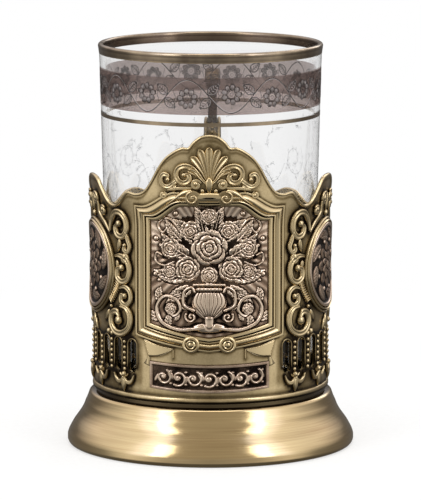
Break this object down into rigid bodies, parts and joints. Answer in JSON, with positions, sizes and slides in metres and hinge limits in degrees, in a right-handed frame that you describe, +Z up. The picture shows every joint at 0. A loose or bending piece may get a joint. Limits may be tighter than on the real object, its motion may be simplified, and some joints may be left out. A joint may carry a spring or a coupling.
{
  "type": "podstakannik tea glass holder",
  "caption": "Pierced and embossed metal tea glass holder on a flared pedestal, with a loop handle and a straight thin glass that lifts out.",
  "frame": {"origin": "on the axis of the shell and glass, in the plane on which the pedestal rests", "axes": "+Z up along the axis, -Y towards the front plaque, +Y towards the handle, +X to the right seen from the front"},
  "size_m": [0.09, 0.1246, 0.126],
  "materials": {
    "patinated_brass": "struck brass with dark patina in the recesses",
    "brushed_brass": "spun and fine-brushed brass, lightly aged",
    "coppered_plate": "coppered brass plate, dark recesses and polished relief",
    "screw_steel": "plain bright steel",
    "clear_glass": "clear thin glass with fine etched lines",
    "gilding": "fired gilding, aged gold",
    "platinum_lustre": "fired grey lustre with an engraved flower vine"
  },
  "bodies": {
    "holder": {"shell_wall": "patinated_brass", "rim_wire": "patinated_brass", "front_frame": "patinated_brass", "crest_palmette": "patinated_brass", "side_scrolls_left": "patinated_brass", "side_scrolls_right": "patinated_brass", "medallion_ring_left": "patinated_brass", "medallion_ring_right": "patinated_brass", "bead_columns": "patinated_brass", "fleurs": "patinated_brass", "foot_bead": "patinated_brass", "pedestal": "brushed_brass", "floor_disc": "brushed_brass", "centre_screw": "screw_steel", "washer": "screw_steel", "nut": "screw_steel", "plaque": "coppered_plate", "plaque_rivets": "patinated_brass", "medallion_left": "coppered_plate", "medallion_right": "coppered_plate", "medallion_rivets": "patinated_brass", "nameplate": "coppered_plate", "nameplate_ribbon": "patinated_brass", "nameplate_rivets": "patinated_brass", "handle": "patinated_brass", "handle_rivets": "patinated_brass"},
    "glass": {"tumbler": "clear_glass", "gilded_rim": "gilding", "lustre_band": "platinum_lustre", "gold_line": "gilding"}
  },
  "joints": [
    {"name": "glass_lift", "type": "slide", "parent": "holder", "child": "glass", "axis": [0, 0, 1], "range_m": [0, 0.11]}
  ]
}
